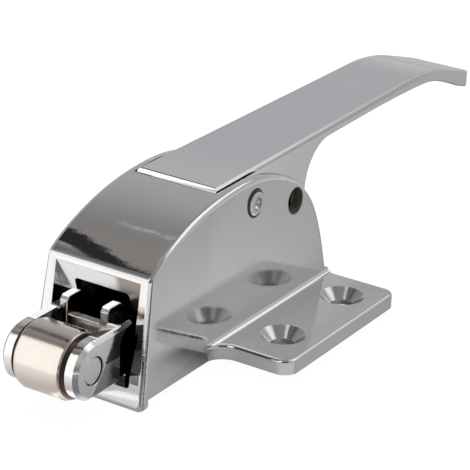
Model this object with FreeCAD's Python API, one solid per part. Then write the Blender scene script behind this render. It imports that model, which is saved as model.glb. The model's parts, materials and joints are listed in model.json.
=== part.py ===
import FreeCAD, Part
import math
import os
from FreeCAD import Vector as V

os.makedirs("parts", exist_ok=True)

# Spring door latch. Millimetres, +Z up. Drawn with x = 0 at the foot of the front face
# (roller towards -X, handle towards +X), y = 0 on the centre plane and z = 0 on the
# underside of the base, then moved so that the origin is the centre of the screw pattern.

# ---------------------------------------------------------------- driving dimensions
BASE_HW = 14.65              # half width over the side walls at the flange
DRAFT = 0.050                # taper of each side wall above the flange, per mm of height
WALL_IN = 10.95              # inner faces of the side walls, from the centre plane
COVER_T = 2.5                # curved top and rear wall
JAMB_T = 3.2                 # front frame, thickness along x
LEAN = 0.166                 # backward lean of the front face, per mm of height
SILL_TOP = 2.05
LIP_DROP = 2.8               # lip below the base plane
LIP_T = 2.0
EDGE_R = 1.2                 # rounding of the outer edges

FLANGE_X0, FLANGE_X1 = 28.3, 75.0
FLANGE_T = 3.47
FLANGE_OUT = 33.2            # outer edge, from the centre plane
FLANGE_PLAN_R = 5.0          # plan fillet to the wall at the front
BEAD_R = 1.0                 # fillet between flange and wall
HOLE_X = (39.7, 65.2)
HOLE_Y = 24.35
HOLE_R = 2.75
CSK_R = 5.1

ORIGIN_X = sum(HOLE_X) / 2

PIVOT = (43.9, 30.4)         # lever pivot, x and z
PIN_R = 3.3
PIN_END = 13.98              # half length over the domed ends, which stand a little proud of the walls
PIN_DOME = (2.3, 0.72)       # radius of the flat end and height of the dome
LOCK = (60.6, 25.6)          # cross hole for a shackle or locking pin
LOCK_R = 3.05

LEVER_TOP = 36.65            # top face above the front edge
LEVER_RISE = 0.0052          # the top face rises slightly towards the bend
LEVER_X0, LEVER_X1 = 32.7, 155.3
LEVER_HW0, LEVER_HW1 = 10.35, 8.5
LEVER_FRONT_R = 12.65        # front edge swings on this radius about the pivot
COVER_CUT_R = 12.95
LIFT_DEG = 23.0
ARM_L = 20.0                 # pivot to drive pin
DRIVE_R = 2.5

ROLLER = (-10.05, 10.0)      # roller axis, x and z
ROLLER_R = 7.65
ROLLER_HL = 5.85
ROLLER_RIM = (1.15, 0.5)     # bevel at each end of the roller, along the axis and in radius
RPIN_R = 3.1
ARM_IN, ARM_OUT = 6.8, 9.67
BOSS_R = 6.5
HEAD_END = -1.2
BODY_HW = 8.4
BODY_END = 24.0
BODY_TOP = 16.4
TRAVEL = 2 * ARM_L * math.sin(math.radians(LIFT_DEG / 2))

SPRING_Z = 10.2
SPRING_OR = 6.0
SPRING_WIRE = 1.4
TAIL_X = 48.5
SEAT_X = 66.8


# ---------------------------------------------------------------- helpers
def box(x0, x1, y0, y1, z0, z1):
    return Part.makeBox(x1 - x0, y1 - y0, z1 - z0, V(x0, y0, z0))


def cyl_y(x, z, r, y0, y1):
    return Part.makeCylinder(r, y1 - y0, V(x, y0, z), V(0, 1, 0))


def cyl_z(x, y, r, z0, z1):
    return Part.makeCylinder(r, z1 - z0, V(x, y, z0), V(0, 0, 1))


def cyl_x(y, z, r, x0, x1):
    return Part.makeCylinder(r, x1 - x0, V(x0, y, z), V(1, 0, 0))


def line(a, b):
    return Part.LineSegment(a, b).toShape()


def spline(pts, t0=None, t1=None):
    c = Part.BSplineCurve()
    if t0 is not None and t1 is not None:
        c.interpolate(Points=pts, InitialTangent=t0, FinalTangent=t1)
    else:
        c.interpolate(pts)
    return c


def xz(p, y=0.0):
    return V(p[0], y, p[1])


def extrude_y(edges, y0, y1):
    face = Part.Face(Part.Wire(edges))
    face.translate(V(0, y0, 0))
    return face.extrude(V(0, y1 - y0, 0))


def prism_y(pts, y0, y1):
    p = [xz(q) for q in pts]
    return extrude_y([line(p[i], p[(i + 1) % len(p)]) for i in range(len(p))], y0, y1)


def rounded(pts, radii):
    """Closed outline of straight runs whose corners have the given radii (0 keeps a corner)."""
    n = len(pts)
    ends = []
    for i in range(n):
        p, r = pts[i], radii[i]
        if r <= 0:
            ends.append((p, None, p))
            continue
        u = (pts[i - 1] - p).normalize()
        w = (pts[(i + 1) % n] - p).normalize()
        half = u.getAngle(w) / 2
        d = r / math.tan(half)
        c = p + (u + w).normalize() * (r / math.sin(half))
        m = c + (p - c).normalize() * r
        ends.append((p + u * d, m, p + w * d))
    edges = []
    for i in range(n):
        a, m, b = ends[i]
        if m is not None:
            edges.append(Part.Arc(a, m, b).toShape())
        nxt = ends[(i + 1) % n][0]
        if (nxt - b).Length > 1e-6:
            edges.append(line(b, nxt))
    return edges


def fillet(shape, r, pick, what):
    edges = [e for e in shape.Edges if pick(e)]
    if not edges:
        print("no edges for", what)
        return shape
    try:
        out = shape.makeFillet(r, edges)
        if out.isValid() and out.Volume > 0:
            return out
        print("fillet not valid:", what)
    except Exception as exc:
        print("fillet failed:", what, exc)
    return shape


def chamfer(shape, r, pick, what):
    edges = [e for e in shape.Edges if pick(e)]
    try:
        out = shape.makeChamfer(r, edges)
        if edges and out.isValid() and out.Volume > 0:
            return out
        print("chamfer not valid:", what, len(edges))
    except Exception as exc:
        print("chamfer failed:", what, exc)
    return shape


def mid(e):
    a, b = e.ParameterRange
    return e.valueAt((a + b) / 2)


def within(e, x=None, y=None, z=None, tol=0.02):
    """All of an edge's box lies inside the given ranges."""
    b = e.BoundBox
    for rng, lo, hi in ((x, b.XMin, b.XMax), (y, b.YMin, b.YMax), (z, b.ZMin, b.ZMax)):
        if rng is not None and (lo < rng[0] - tol or hi > rng[1] + tol):
            return False
    return True


def save(shape, name):
    s = shape.copy()
    s.translate(V(-ORIGIN_X, 0, 0))
    if not s.isValid():
        print("INVALID", name)
    print("%-20s solids %d  volume %.1f" % (name, len(s.Solids), s.Volume))
    s.exportStep("parts/%s.step" % name)


def both(fn):
    return fn(1).fuse(fn(-1))


def yrange(s, a, b):
    return (a, b) if s > 0 else (-b, -a)


# ---------------------------------------------------------------- side profile
def face_x(z):
    """Front face plane."""
    return LEAN * z


def wall_y(z):
    """Outer face of a side wall."""
    return BASE_HW - DRAFT * (z - FLANGE_T)


FRONT_TOP = V(face_x(25.5), 0, 25.5)
TOP = [V(5.15, 0, 26.75), V(9.1, 0, 29.2), V(14.46, 0, 31.6), V(21.9, 0, 34.0), V(29.3, 0, 35.4),
       V(37.1, 0, 36.05), V(43.9, 0, 35.95), V(49.7, 0, 35.1), V(55.0, 0, 33.55), V(60.4, 0, 30.95),
       V(65.5, 0, 26.85), V(69.7, 0, 21.1), V(72.6, 0, 13.0), V(74.5, 0, 4.5)]
top_curve = spline(TOP, V(1.35, 0, 1), V(0.22, 0, -1))
nose = spline([FRONT_TOP, TOP[0]], V(LEAN, 0, 1), V(1.35, 0, 1))
REAR_FOOT = V(FLANGE_X1, 0, 0)
LIP_FRONT = V(face_x(-LIP_DROP), 0, -LIP_DROP)
LIP_BACK = V(LIP_T, 0, -LIP_DROP)

outer = extrude_y([line(LIP_FRONT, FRONT_TOP), nose.toShape(), top_curve.toShape(),
                   line(TOP[-1], REAR_FOOT), line(REAR_FOOT, V(LIP_T, 0, 0)),
                   line(V(LIP_T, 0, 0), LIP_BACK), line(LIP_BACK, LIP_FRONT)], -20, 20)
# both side walls taper upwards
slab = Part.Face(Part.Wire([line(V(-9, -wall_y(-5), -5), V(-9, wall_y(-5), -5)),
                            line(V(-9, wall_y(-5), -5), V(-9, wall_y(45), 45)),
                            line(V(-9, wall_y(45), 45), V(-9, -wall_y(45), 45)),
                            line(V(-9, -wall_y(45), 45), V(-9, -wall_y(-5), -5))])).extrude(V(100, 0, 0))
outer = outer.common(slab)
outer = fillet(outer, 1.8, lambda e: within(e, x=(-1, LIP_T), z=(-LIP_DROP, -LIP_DROP))
               and e.BoundBox.YLength < 0.01, "lip corners")


def on_outline(e):
    m = mid(e)
    if m.z < -0.01:
        return abs(m.x - face_x(m.z)) < 0.02
    if m.x > FLANGE_X1 - 1.0 and m.z < 4.6:
        return False
    return abs(abs(m.y) - wall_y(m.z)) < 0.02 and m.z > 0.3 and (m.x > 0.01) \
        and not (e.BoundBox.XLength > 60 and e.BoundBox.ZLength < 0.01)


outer_raw = outer.copy()
outer = fillet(outer, EDGE_R, on_outline, "housing outer edges")

# ---------------------------------------------------------------- cavity profile
inner_pts = []
a, b = top_curve.FirstParameter, top_curve.LastParameter
for i in range(25):
    t = a + (b - a) * i / 24.0
    p = top_curve.value(t)
    d = top_curve.tangent(t)[0]
    n = V(d.z, 0, -d.x)                     # to the inside of the profile
    q = p + n * COVER_T
    if q.x > JAMB_T + 3.6 and q.z > 4.0:
        inner_pts.append(q)
inner_curve = spline(inner_pts)
ip0, ip1 = inner_pts[0], inner_pts[-1]
cavity = extrude_y([line(V(JAMB_T, 0, -6), V(JAMB_T, 0, 23.0)), line(V(JAMB_T, 0, 23.0), V(ip0.x - 1.4, 0, ip0.z - 1.2)),
                    line(V(ip0.x - 1.4, 0, ip0.z - 1.2), ip0),
                    inner_curve.toShape(), line(ip1, V(ip1.x + 0.4, 0, -6)),
                    line(V(ip1.x + 0.4, 0, -6), V(JAMB_T, 0, -6))], -WALL_IN, WALL_IN)


# ---------------------------------------------------------------- housing
def flange_outline(s):
    x0, x1, r = FLANGE_X0, FLANGE_X1, FLANGE_PLAN_R
    yw = BASE_HW - 1.5
    pts = [V(x0 - r, s * BASE_HW, 0), V(x0, s * BASE_HW, 0), V(x0, s * FLANGE_OUT, 0),
           V(x1, s * FLANGE_OUT, 0), V(x1, s * yw, 0), V(x0 - r, s * yw, 0)]
    edges = rounded(pts, [0, r, 3.6, 3.0, 0, 0])
    # the run from the wall to the fillet has no length, so the outline starts on the arc
    f = Part.Face(Part.Wire(Part.__sortEdges__(edges)))
    if f.normalAt(0, 0).z < 0:
        f.reverse()
    return f


def flange(s):
    return flange_outline(s).extrude(V(0, 0, FLANGE_T))


def bead(s):
    """Concave fillet where the wall meets the flange top, ending inside the flange outline."""
    x0, x1, r, t = FLANGE_X0 - FLANGE_PLAN_R, FLANGE_X1, BEAD_R, FLANGE_T
    y0 = wall_y(t)
    y1 = wall_y(t + r)
    c = V(x0, s * (y0 + r), t + r)
    m = c + V(0, -s * math.cos(math.radians(45)), -math.sin(math.radians(45))) * r
    prof = Part.Face(Part.Wire([line(V(x0, s * (y0 + r), t - 0.3), V(x0, s * (y0 + r), t)),
                                Part.Arc(V(x0, s * (y0 + r), t), m, V(x0, s * y0, t + r)).toShape(),
                                line(V(x0, s * y0, t + r), V(x0, s * (y1 - 0.6), t + r)),
                                line(V(x0, s * (y1 - 0.6), t + r), V(x0, s * (y1 - 0.6), t - 0.3)),
                                line(V(x0, s * (y1 - 0.6), t - 0.3), V(x0, s * (y0 + r), t - 0.3))]))
    return prof.extrude(V(x1 - x0, 0, 0)).common(flange_outline(s).extrude(V(0, 0, 10)))


flanges = flange(1).fuse(flange(-1))
flanges = fillet(flanges, 0.7,
                 lambda e: within(e, z=(FLANGE_T, FLANGE_T)) and abs(mid(e).y) > BASE_HW + 0.2
                 and mid(e).x < FLANGE_X1 - 0.01 or
                 (within(e, z=(FLANGE_T, FLANGE_T)) and abs(mid(e).y) > BASE_HW + 2 and mid(e).x > FLANGE_X1 - 0.01),
                 "flange top edge")
beads = both(bead)

housing = outer.fuse(flanges).fuse(beads)
housing = housing.removeSplitter()

# front opening, as wide as the inside, up to the sloping web
WEB_TOP = 24.9
win = Part.Face(Part.Wire(rounded([V(-6, -WALL_IN, SILL_TOP), V(-6, WALL_IN, SILL_TOP),
                                   V(-6, WALL_IN, WEB_TOP), V(-6, -WALL_IN, WEB_TOP)], [0.8, 0.8, 0.5, 0.5])))
window = win.extrude(V(13.6, 0, 0))
opening_top = box(PIVOT[0], 90, -WALL_IN, WALL_IN, 22.3, 60).fuse(
    cyl_y(PIVOT[0], PIVOT[1], COVER_CUT_R, -WALL_IN, WALL_IN))
housing = housing.cut(cavity).cut(window).cut(opening_top)

# sloping web under the front edge of the cover, with its notch
web = prism_y([(face_x(WEB_TOP) - 0.2, WEB_TOP + 0.3), (face_x(WEB_TOP) - 0.05, WEB_TOP), (6.5, 17.4), (8.0, 17.4), (7.3, 25.0),
               (8.0, 28.4), (5.4, 26.9)],
              -WALL_IN - 0.3, WALL_IN + 0.3)
web = web.common(outer)
notch = Part.Face(Part.Wire(rounded([V(0, -7.1, 12), V(0, -7.1, 21.0), V(0, 7.1, 21.0), V(0, 7.1, 12)],
                                    [0, 1.0, 1.0, 0]))).extrude(V(12, 0, 0))
web = web.cut(notch)
housing = housing.fuse(web)

# guides for the bolt on both walls, with ledges over its shoulders
PAD_X = (12.2, 26.0)
pads = both(lambda s: box(*PAD_X, *yrange(s, BODY_HW + 0.1, WALL_IN + 0.5), SILL_TOP, BODY_TOP + 2.0).fuse(
    box(*PAD_X, *yrange(s, 6.85, WALL_IN), BODY_TOP + 0.15, BODY_TOP + 2.0)))
# posts for the plate screws
posts = None
SCREW_X = (36.0, 63.1)
SCREW_Y = 8.8
for sx in SCREW_X:
    for s in (1, -1):
        p = cyl_z(sx, s * SCREW_Y, 2.05, SILL_TOP, 12.0).fuse(
            box(sx - 2.05, sx + 2.05, *yrange(s, SCREW_Y, WALL_IN + 0.4), SILL_TOP, 12.0))
        posts = p if posts is None else posts.fuse(p)
# flat seat for the spring on the rear wall
seat_boss = cyl_x(0, SPRING_Z, 7.8, SEAT_X + 1.0, 74.0).common(outer)
housing = housing.fuse(pads).fuse(posts).fuse(seat_boss)
housing = housing.cut(box(JAMB_T - 0.001, ip1.x + 0.3, -WALL_IN, WALL_IN, -1, SILL_TOP))
for sx in SCREW_X:
    for s in (1, -1):
        housing = housing.cut(cyl_z(sx, s * SCREW_Y, 1.25, SILL_TOP - 1, 9.5))

# screw holes, countersunk from above
for hx in HOLE_X:
    for s in (1, -1):
        housing = housing.cut(cyl_z(hx, s * HOLE_Y, HOLE_R, -1, FLANGE_T + 1))
        d = CSK_R - HOLE_R
        housing = housing.cut(Part.makeCone(HOLE_R, CSK_R + 0.5, d + 0.5, V(hx, s * HOLE_Y, FLANGE_T - d), V(0, 0, 1)))

# pivot and locking holes through both walls
housing = housing.cut(cyl_y(PIVOT[0], PIVOT[1], PIN_R, -20, 20))
housing = housing.cut(cyl_y(LOCK[0], LOCK[1], LOCK_R, -20, 20))
# pocket for the lever's buffer in the top of the rear wall
housing = housing.cut(box(65.0, 73.0, -3.6, 3.6, 20.4, 24.5))
housing = housing.removeSplitter()
save(housing, "housing")

# ---------------------------------------------------------------- base plate and its screws
PLATE_T = 1.8
plate_edges = rounded([V(JAMB_T + 0.1, -WALL_IN + 0.1, SILL_TOP - PLATE_T), V(ip1.x + 0.15, -WALL_IN + 0.1, SILL_TOP - PLATE_T),
                       V(ip1.x + 0.15, WALL_IN - 0.1, SILL_TOP - PLATE_T), V(JAMB_T + 0.1, WALL_IN - 0.1, SILL_TOP - PLATE_T)],
                      [0.8, 0.8, 0.8, 0.8])
plate = Part.Face(Part.Wire(plate_edges)).extrude(V(0, 0, PLATE_T))
screws = []
for sx in SCREW_X:
    for s in (1, -1):
        zf = SILL_TOP - PLATE_T
        plate = plate.cut(cyl_z(sx, s * SCREW_Y, 1.35, zf - 1, SILL_TOP + 1))
        plate = plate.cut(Part.makeCone(1.95, 1.35, 0.6, V(sx, s * SCREW_Y, zf), V(0, 0, 1)))
        sc = cyl_z(sx, s * SCREW_Y, 1.2, zf + 0.3, 8.0)
        head = Part.makeCone(1.85, 1.2, 0.65, V(sx, s * SCREW_Y, zf + 0.05), V(0, 0, 1))
        sc = sc.fuse(head)
        slot = box(sx - 1.3, sx + 1.3, s * SCREW_Y - 0.25, s * SCREW_Y + 0.25, zf - 0.2, zf + 0.4)
        cross = box(sx - 0.25, sx + 0.25, s * SCREW_Y - 1.3, s * SCREW_Y + 1.3, zf - 0.2, zf + 0.4)
        screws.append(sc.cut(slot).cut(cross).removeSplitter())
save(plate, "base_plate")
save(Part.makeCompound(screws), "base_plate_screws")

# ---------------------------------------------------------------- lever
px, pz = PIVOT
bend0 = 121.0
R = 62.0
turn = math.radians(17.3)


def top_z(x):
    return LEVER_TOP + LEVER_RISE * (x - LEVER_X0)


B0 = V(bend0, 0, top_z(bend0))
rise = math.atan(LEVER_RISE)
BC = B0 + V(math.sin(rise), 0, -math.cos(rise)) * R      # centre of the bend


def bend_pt(a):
    return BC + V(math.sin(a), 0, math.cos(a)) * R


bm, be = bend_pt((turn - rise) / 2), bend_pt(turn)
bx, bz = be.x, be.z
end_top = V(LEVER_X1 - 1.7, 0, bz - (LEVER_X1 - 1.7 - bx) * math.tan(turn))
FRONT_Z = 36.15                              # lower edge of the front bevel


def front_at(z, r):
    return px - math.sqrt(r * r - (z - pz) ** 2)


f_lo = V(front_at(28.5, LEVER_FRONT_R), 0, 28.5)
f_hi = V(front_at(FRONT_Z, LEVER_FRONT_R), 0, FRONT_Z)
f_md = V(px - LEVER_FRONT_R, 0, pz)
f_top = V(f_hi.x + 0.50, 0, top_z(f_hi.x + 0.50))
under = spline([V(81.5, 0, 34.1), V(95.4, 0, 34.2), V(110.2, 0, 34.15), V(125.0, 0, 33.7), V(132.9, 0, 32.85),
                V(137.6, 0, 31.55), V(142.3, 0, 29.85), V(147.9, 0, 27.45), V(151.7, 0, 26.2)],
               V(1, 0, 0), V(1, 0, -0.33))
end_lo = V(151.7, 0, 26.2)
end_md = V(LEVER_X1, 0, 28.1)
end_curve = spline([end_top, end_md, end_lo], V(math.cos(turn), 0, -math.sin(turn)) * 3.2, V(-1, 0, 0.33) * 3.2)
hub_r = 10.4
hub_c = V(81.5, 0, 34.1 - hub_r)
w_hi = V(81.5, 0, 34.1)
w_md = hub_c + V(-math.cos(math.radians(45)), 0, math.sin(math.radians(45))) * hub_r
w_lo = hub_c + V(-hub_r, 0, 0)
HUB_Z = 22.95                                # underside of the hub over the rear wall

outline = [Part.Arc(f_lo, f_md, f_hi).toShape(), line(f_hi, f_top), line(f_top, B0),
           Part.Arc(B0, bm, V(bx, 0, bz)).toShape(),
           line(V(bx, 0, bz), end_top), end_curve.toShape(), under.toShape(),
           Part.Arc(w_hi, w_md, w_lo).toShape(), line(w_lo, V(w_lo.x, 0, HUB_Z)),
           line(V(w_lo.x, 0, HUB_Z), V(65.2, 0, HUB_Z)), line(V(65.2, 0, HUB_Z), V(64.2, 0, 20.2)),
           line(V(64.2, 0, 20.2), V(56.5, 0, 20.2)), line(V(56.5, 0, 20.2), V(45.6, 0, 24.4)),
           line(V(45.6, 0, 24.4), V(38.6, 0, 24.9)), line(V(38.6, 0, 24.9), f_lo)]
solid = extrude_y(Part.__sortEdges__(outline), -12, 12)


def half_width(x):
    return LEVER_HW0 + (LEVER_HW1 - LEVER_HW0) * (x - LEVER_X0) / (LEVER_X1 - LEVER_X0)


xa, xb = LEVER_X0 - 4, LEVER_X1 + 0.2
plan_pts = [V(xa, -LEVER_HW0, 0), V(LEVER_X0, -LEVER_HW0, 0), V(xb, -half_width(xb), 0), V(xb, half_width(xb), 0),
            V(LEVER_X0, LEVER_HW0, 0), V(xa, LEVER_HW0, 0)]
plan = Part.Face(Part.Wire(rounded(plan_pts, [0, 0, 4.2, 4.2, 0, 0]))).extrude(V(0, 0, 60))
solid = solid.common(plan)


def end_z(x):
    """Top face from the front bevel to the end."""
    if x < bend0:
        return top_z(x)
    return BC.z + math.sqrt(R * R - (x - BC.x) ** 2) if x < bx else bz - (x - bx) * math.tan(turn)


plain = solid.copy()
solid = fillet(solid, 0.45, lambda e: abs(mid(e).z - end_z(mid(e).x)) < 0.03 and abs(mid(e).y) > 3.0
               and mid(e).x > 36.0 and mid(e).x < end_top.x + 0.1, "lever top edges")


# bevels along the top edges, wide at the housing and narrow towards the end
def bevel(s):
    def tri(x, w):
        y = s * (half_width(x) + 0.02)
        z = top_z(x) + 0.02
        return Part.Wire([line(V(x, y + s * 0.6, z + 0.6), V(x, y - s * (w + 0.3), z + 0.6)),
                          line(V(x, y - s * (w + 0.3), z + 0.6), V(x, y - s * w, z)),
                          line(V(x, y - s * w, z), V(x, y, z - w * 1.15)),
                          line(V(x, y, z - w * 1.15), V(x, y + s * 0.6, z - w * 1.15)),
                          line(V(x, y + s * 0.6, z - w * 1.15), V(x, y + s * 0.6, z + 0.6))])
    return Part.makeLoft([tri(28.0, 0.52), tri(bend0, 0.40)], True, True)


solid = solid.cut(bevel(1)).cut(bevel(-1))
solid = solid.removeSplitter()

# hollow underside of the hub: two cheeks and the curved rear web stay
ct = 2.5
room = prism_y([(34.8, 19.0), (34.8, 33.6), (67.4, 33.6), (68.3, 32.0), (68.3, 22.0), (66.0, 19.0)],
               -LEVER_HW0 + ct + 0.2, LEVER_HW0 - ct - 0.2)
room = room.cut(cyl_y(hub_c.x, hub_c.z, hub_r + 2.6, -12, 12).common(box(60, 92, -12, 12, 18, 40)))
solid = solid.cut(room)

# pivot boss through the hub, and the arm that drives the bolt
boss_y = 9.8
solid = solid.fuse(cyl_y(px, pz, 5.4, -boss_y, boss_y))
a0 = math.radians(LIFT_DEG / 2)
DRIVE = (px - ARM_L * math.sin(a0), pz - ARM_L * math.cos(a0))
u = V(DRIVE[0] - px, 0, DRIVE[1] - pz).normalize()
w = V(-u.z, 0, u.x)
pv, dv = V(px, 0, pz), V(DRIVE[0], 0, DRIVE[1])
arm_poly = [pv + w * 5.2, dv + w * 4.3, dv - w * 4.3, pv - w * 5.2]
arm = extrude_y([line(arm_poly[i], arm_poly[(i + 1) % 4]) for i in range(4)], -3.9, 3.9)
arm = arm.fuse(cyl_y(DRIVE[0], DRIVE[1], 4.5, -3.9, 3.9))
solid = solid.fuse(arm)
# bores
solid = solid.cut(cyl_y(px, pz, 4.4, -20, 20))
for s in (1, -1):
    solid = solid.cut(cyl_y(px, pz, 5.15, *yrange(s, boss_y, 13)))
solid = solid.cut(cyl_y(DRIVE[0], DRIVE[1], DRIVE_R, -10, 10))
solid = solid.cut(cyl_y(LOCK[0], LOCK[1], LOCK_R, -20, 20))
solid = solid.removeSplitter()
save(solid, "lever")
lever = solid

# ---------------------------------------------------------------- pivot pin, bushes and washers
flat_r, dome_h = PIN_DOME
pin = cyl_y(px, pz, PIN_R, -PIN_END + dome_h, PIN_END - dome_h)
for s in (1, -1):
    pin = pin.fuse(Part.makeCone(PIN_R, flat_r, dome_h, V(px, s * (PIN_END - dome_h), pz), V(0, s, 0)))
pin = pin.removeSplitter()
pin = fillet(pin, 0.35, lambda e: e.BoundBox.YLength < 0.01 and abs(mid(e).y) > PIN_END - 0.01, "pin ends")
for s in (1, -1):
    pin = pin.cut(Part.makeCone(1.45, 0.85, 0.7, V(px, s * (PIN_END + 0.01), pz), V(0, -s, 0)))
save(pin, "lever_pivot_pin")
for s, side in ((-1, "near"), (1, "far")):
    bush = cyl_y(px, pz, 4.4, *yrange(s, 2.8, 9.8)).cut(cyl_y(px, pz, PIN_R + 0.05, -20, 20))
    save(bush, "lever_bush_" + side)
    washer = cyl_y(px, pz, 4.8, *yrange(s, 9.87, 10.87)).cut(cyl_y(px, pz, PIN_R + 0.05, -20, 20))
    save(washer, "lever_washer_" + side)
drive_pin = chamfer(cyl_y(DRIVE[0], DRIVE[1], DRIVE_R, -6.0, 6.0), 0.3,
                    lambda e: e.BoundBox.YLength < 0.01, "drive pin ends")
save(drive_pin, "drive_pin")

# ---------------------------------------------------------------- roller carrier
rx, rz = ROLLER
zb, zt = rz - BOSS_R, rz + BOSS_R


def head_arm(s):
    """Rounded arm that runs back a little along its top edge, with a curved underside there."""
    y0, y1 = yrange(s, ARM_IN, ARM_OUT)
    a = cyl_y(rx, rz, BOSS_R, y0, y1).fuse(box(rx, HEAD_END, y0, y1, zb, zt))
    e = [line(V(HEAD_END - 3, y0, zt), V(3.3, y0, zt)), line(V(3.3, y0, zt), V(3.3, y0, zt - 0.8)),
         Part.Arc(V(3.3, y0, zt - 0.8), V(0.0, y0, zt - 1.9), V(HEAD_END, y0, zt - 4.4)).toShape(),
         line(V(HEAD_END, y0, zt - 4.4), V(HEAD_END - 3, y0, zt - 4.4)),
         line(V(HEAD_END - 3, y0, zt - 4.4), V(HEAD_END - 3, y0, zt))]
    a = a.fuse(Part.Face(Part.Wire(e)).extrude(V(0, y1 - y0, 0))).removeSplitter()
    yo = s * ARM_OUT
    a = chamfer(a, 0.9, lambda e: abs(mid(e).y - yo) < 1e-3 and e.BoundBox.YLength < 0.01
                and (mid(e).x < HEAD_END - 0.01 or abs(mid(e).z - zt) < 0.01), "arm bevel")
    return a


carrier = both(head_arm)
# narrower body behind the head, guided between the pads
carrier = carrier.fuse(both(lambda s: box(-5.0, BODY_END, *yrange(s, ARM_IN - 0.5, BODY_HW), zb + 0.4, BODY_TOP).cut(
    box(-6, HEAD_END - 0.6, *yrange(s, 0, ARM_IN), 0, 30))))
carrier = carrier.fuse(box(-0.8, BODY_END, -BODY_HW, BODY_HW, SILL_TOP + 0.06, BODY_TOP).cut(
    box(-5, 2.6, -20, 20, 0, zb + 0.4)))


def ear(s):
    """Upright ear with a bevelled front, eased sides and a sloping rear end."""
    y0, y1 = yrange(s, 4.2, 6.2)
    pts = [V(-0.9, y0, 7.0), V(-0.9, y0, 18.5), V(-0.05, y0, 19.5), V(3.4, y0, 19.5), V(4.6, y0, 18.9), V(4.6, y0, 7.0)]
    e = Part.Face(Part.Wire([line(pts[i], pts[(i + 1) % 6]) for i in range(6)])).extrude(V(0, y1 - y0, 0))
    return fillet(e, 0.32, lambda q: (mid(q).z > 18.0 or abs(mid(q).x + 0.9) < 1e-3) and mid(q).z > 7.1, "ear edges")


carrier = carrier.fuse(both(ear))
carrier = carrier.fuse(box(BODY_END - 1, TAIL_X, -6.1, 6.1, SILL_TOP + 0.06, 15.8))
# channel for the lever's arm, open at the top
carrier = carrier.cut(box(0.7, 45.3, -4.2, 4.2, 5.6, 30))
carrier = carrier.cut(box(-0.91, 0.8, -4.2, 4.2, 15.8, 30))
carrier = carrier.cut(box(44.0, 46.4, -4.2, 4.2, 13.6, 30))
carrier = carrier.removeSplitter()
# slots for the drive pin
sl = DRIVE_R + 0.08
dz0 = pz - ARM_L
for s in (1, -1):
    y0, y1 = yrange(s, 4.0, 7.0)
    slot = box(DRIVE[0] - sl, DRIVE[0] + sl, y0, y1, dz0 - 0.15, DRIVE[1] + 0.15)
    slot = slot.fuse(cyl_y(DRIVE[0], dz0 - 0.15, sl, y0, y1)).fuse(cyl_y(DRIVE[0], DRIVE[1] + 0.15, sl, y0, y1))
    carrier = carrier.cut(slot)
# roller pin bore, bore for the guide rod, hole for the lock pin
carrier = carrier.cut(cyl_y(rx, rz, RPIN_R + 0.06, -20, 20))
carrier = carrier.cut(cyl_x(0, SPRING_Z, 2.5, 40, 60))
LOCKPIN_Y = -8.1
carrier = carrier.cut(cyl_z(rx, LOCKPIN_Y, 1.0, 0, rz + 2.4))
# ear and cross bar edges are eased
carrier = fillet(carrier, 0.5, lambda e: abs(mid(e).z - 15.8) < 0.02 and abs(mid(e).y) < 0.1
                 and abs(mid(e).x + 0.8) < 0.02, "cross bar edge")
carrier = fillet(carrier, 0.18, lambda e: abs(abs(mid(e).y) - ARM_OUT) < 0.01 and e.BoundBox.YLength < 0.01
                 and abs(mid(e).x - rx) < RPIN_R + 0.2 and abs(mid(e).z - rz) < RPIN_R + 0.2, "roller pin bore edges")
save(carrier, "roller_carrier")

# ---------------------------------------------------------------- roller, bushes, pin and its lock
roller = cyl_y(rx, rz, ROLLER_R, -ROLLER_HL + ROLLER_RIM[0], ROLLER_HL - ROLLER_RIM[0])
for s in (1, -1):
    roller = roller.fuse(Part.makeCone(ROLLER_R, ROLLER_R - ROLLER_RIM[1], ROLLER_RIM[0],
                                       V(rx, s * (ROLLER_HL - ROLLER_RIM[0]), rz), V(0, s, 0)))
roller = roller.removeSplitter()
roller = fillet(roller, 0.2, lambda e: e.BoundBox.YLength < 0.01 and abs(mid(e).y) > ROLLER_HL - 0.01, "roller rims")
roller = roller.cut(cyl_y(rx, rz, 4.3, -20, 20))
for s in (1, -1):
    y0, y1 = yrange(s, ROLLER_HL - 0.5, ROLLER_HL + 1)
    roller = roller.cut(cyl_y(rx, rz, 6.5, y0, y1).cut(cyl_y(rx, rz, 5.5, y0 - 1, y1 + 1)))
save(roller, "roller")
for s, side in ((-1, "near"), (1, "far")):
    rb = cyl_y(rx, rz, 4.3, *yrange(s, 0.3, ROLLER_HL)).fuse(
        cyl_y(rx, rz, 5.2, *yrange(s, ROLLER_HL, ARM_IN - 0.1)))
    rb = rb.cut(cyl_y(rx, rz, RPIN_R + 0.05, -20, 20)).removeSplitter()
    save(rb, "roller_bush_" + side)
rpin = cyl_y(rx, rz, RPIN_R, -ARM_OUT + 0.35, ARM_OUT - 0.35)
rpin = fillet(rpin, 0.5, lambda e: e.BoundBox.YLength < 0.01, "roller pin ends")
rpin = rpin.cut(cyl_z(rx, LOCKPIN_Y, 1.0, 0, rz + 2.4))
save(rpin, "roller_pin")
lock = cyl_z(rx, LOCKPIN_Y, 1.0, zb + 0.35, rz + 2.3)
lock = lock.cut(cyl_z(rx, LOCKPIN_Y, 0.55, 0, 30)).cut(box(rx, rx + 2, LOCKPIN_Y - 0.12, LOCKPIN_Y + 0.12, 0, 30))
save(lock, "roller_pin_lock")

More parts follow.
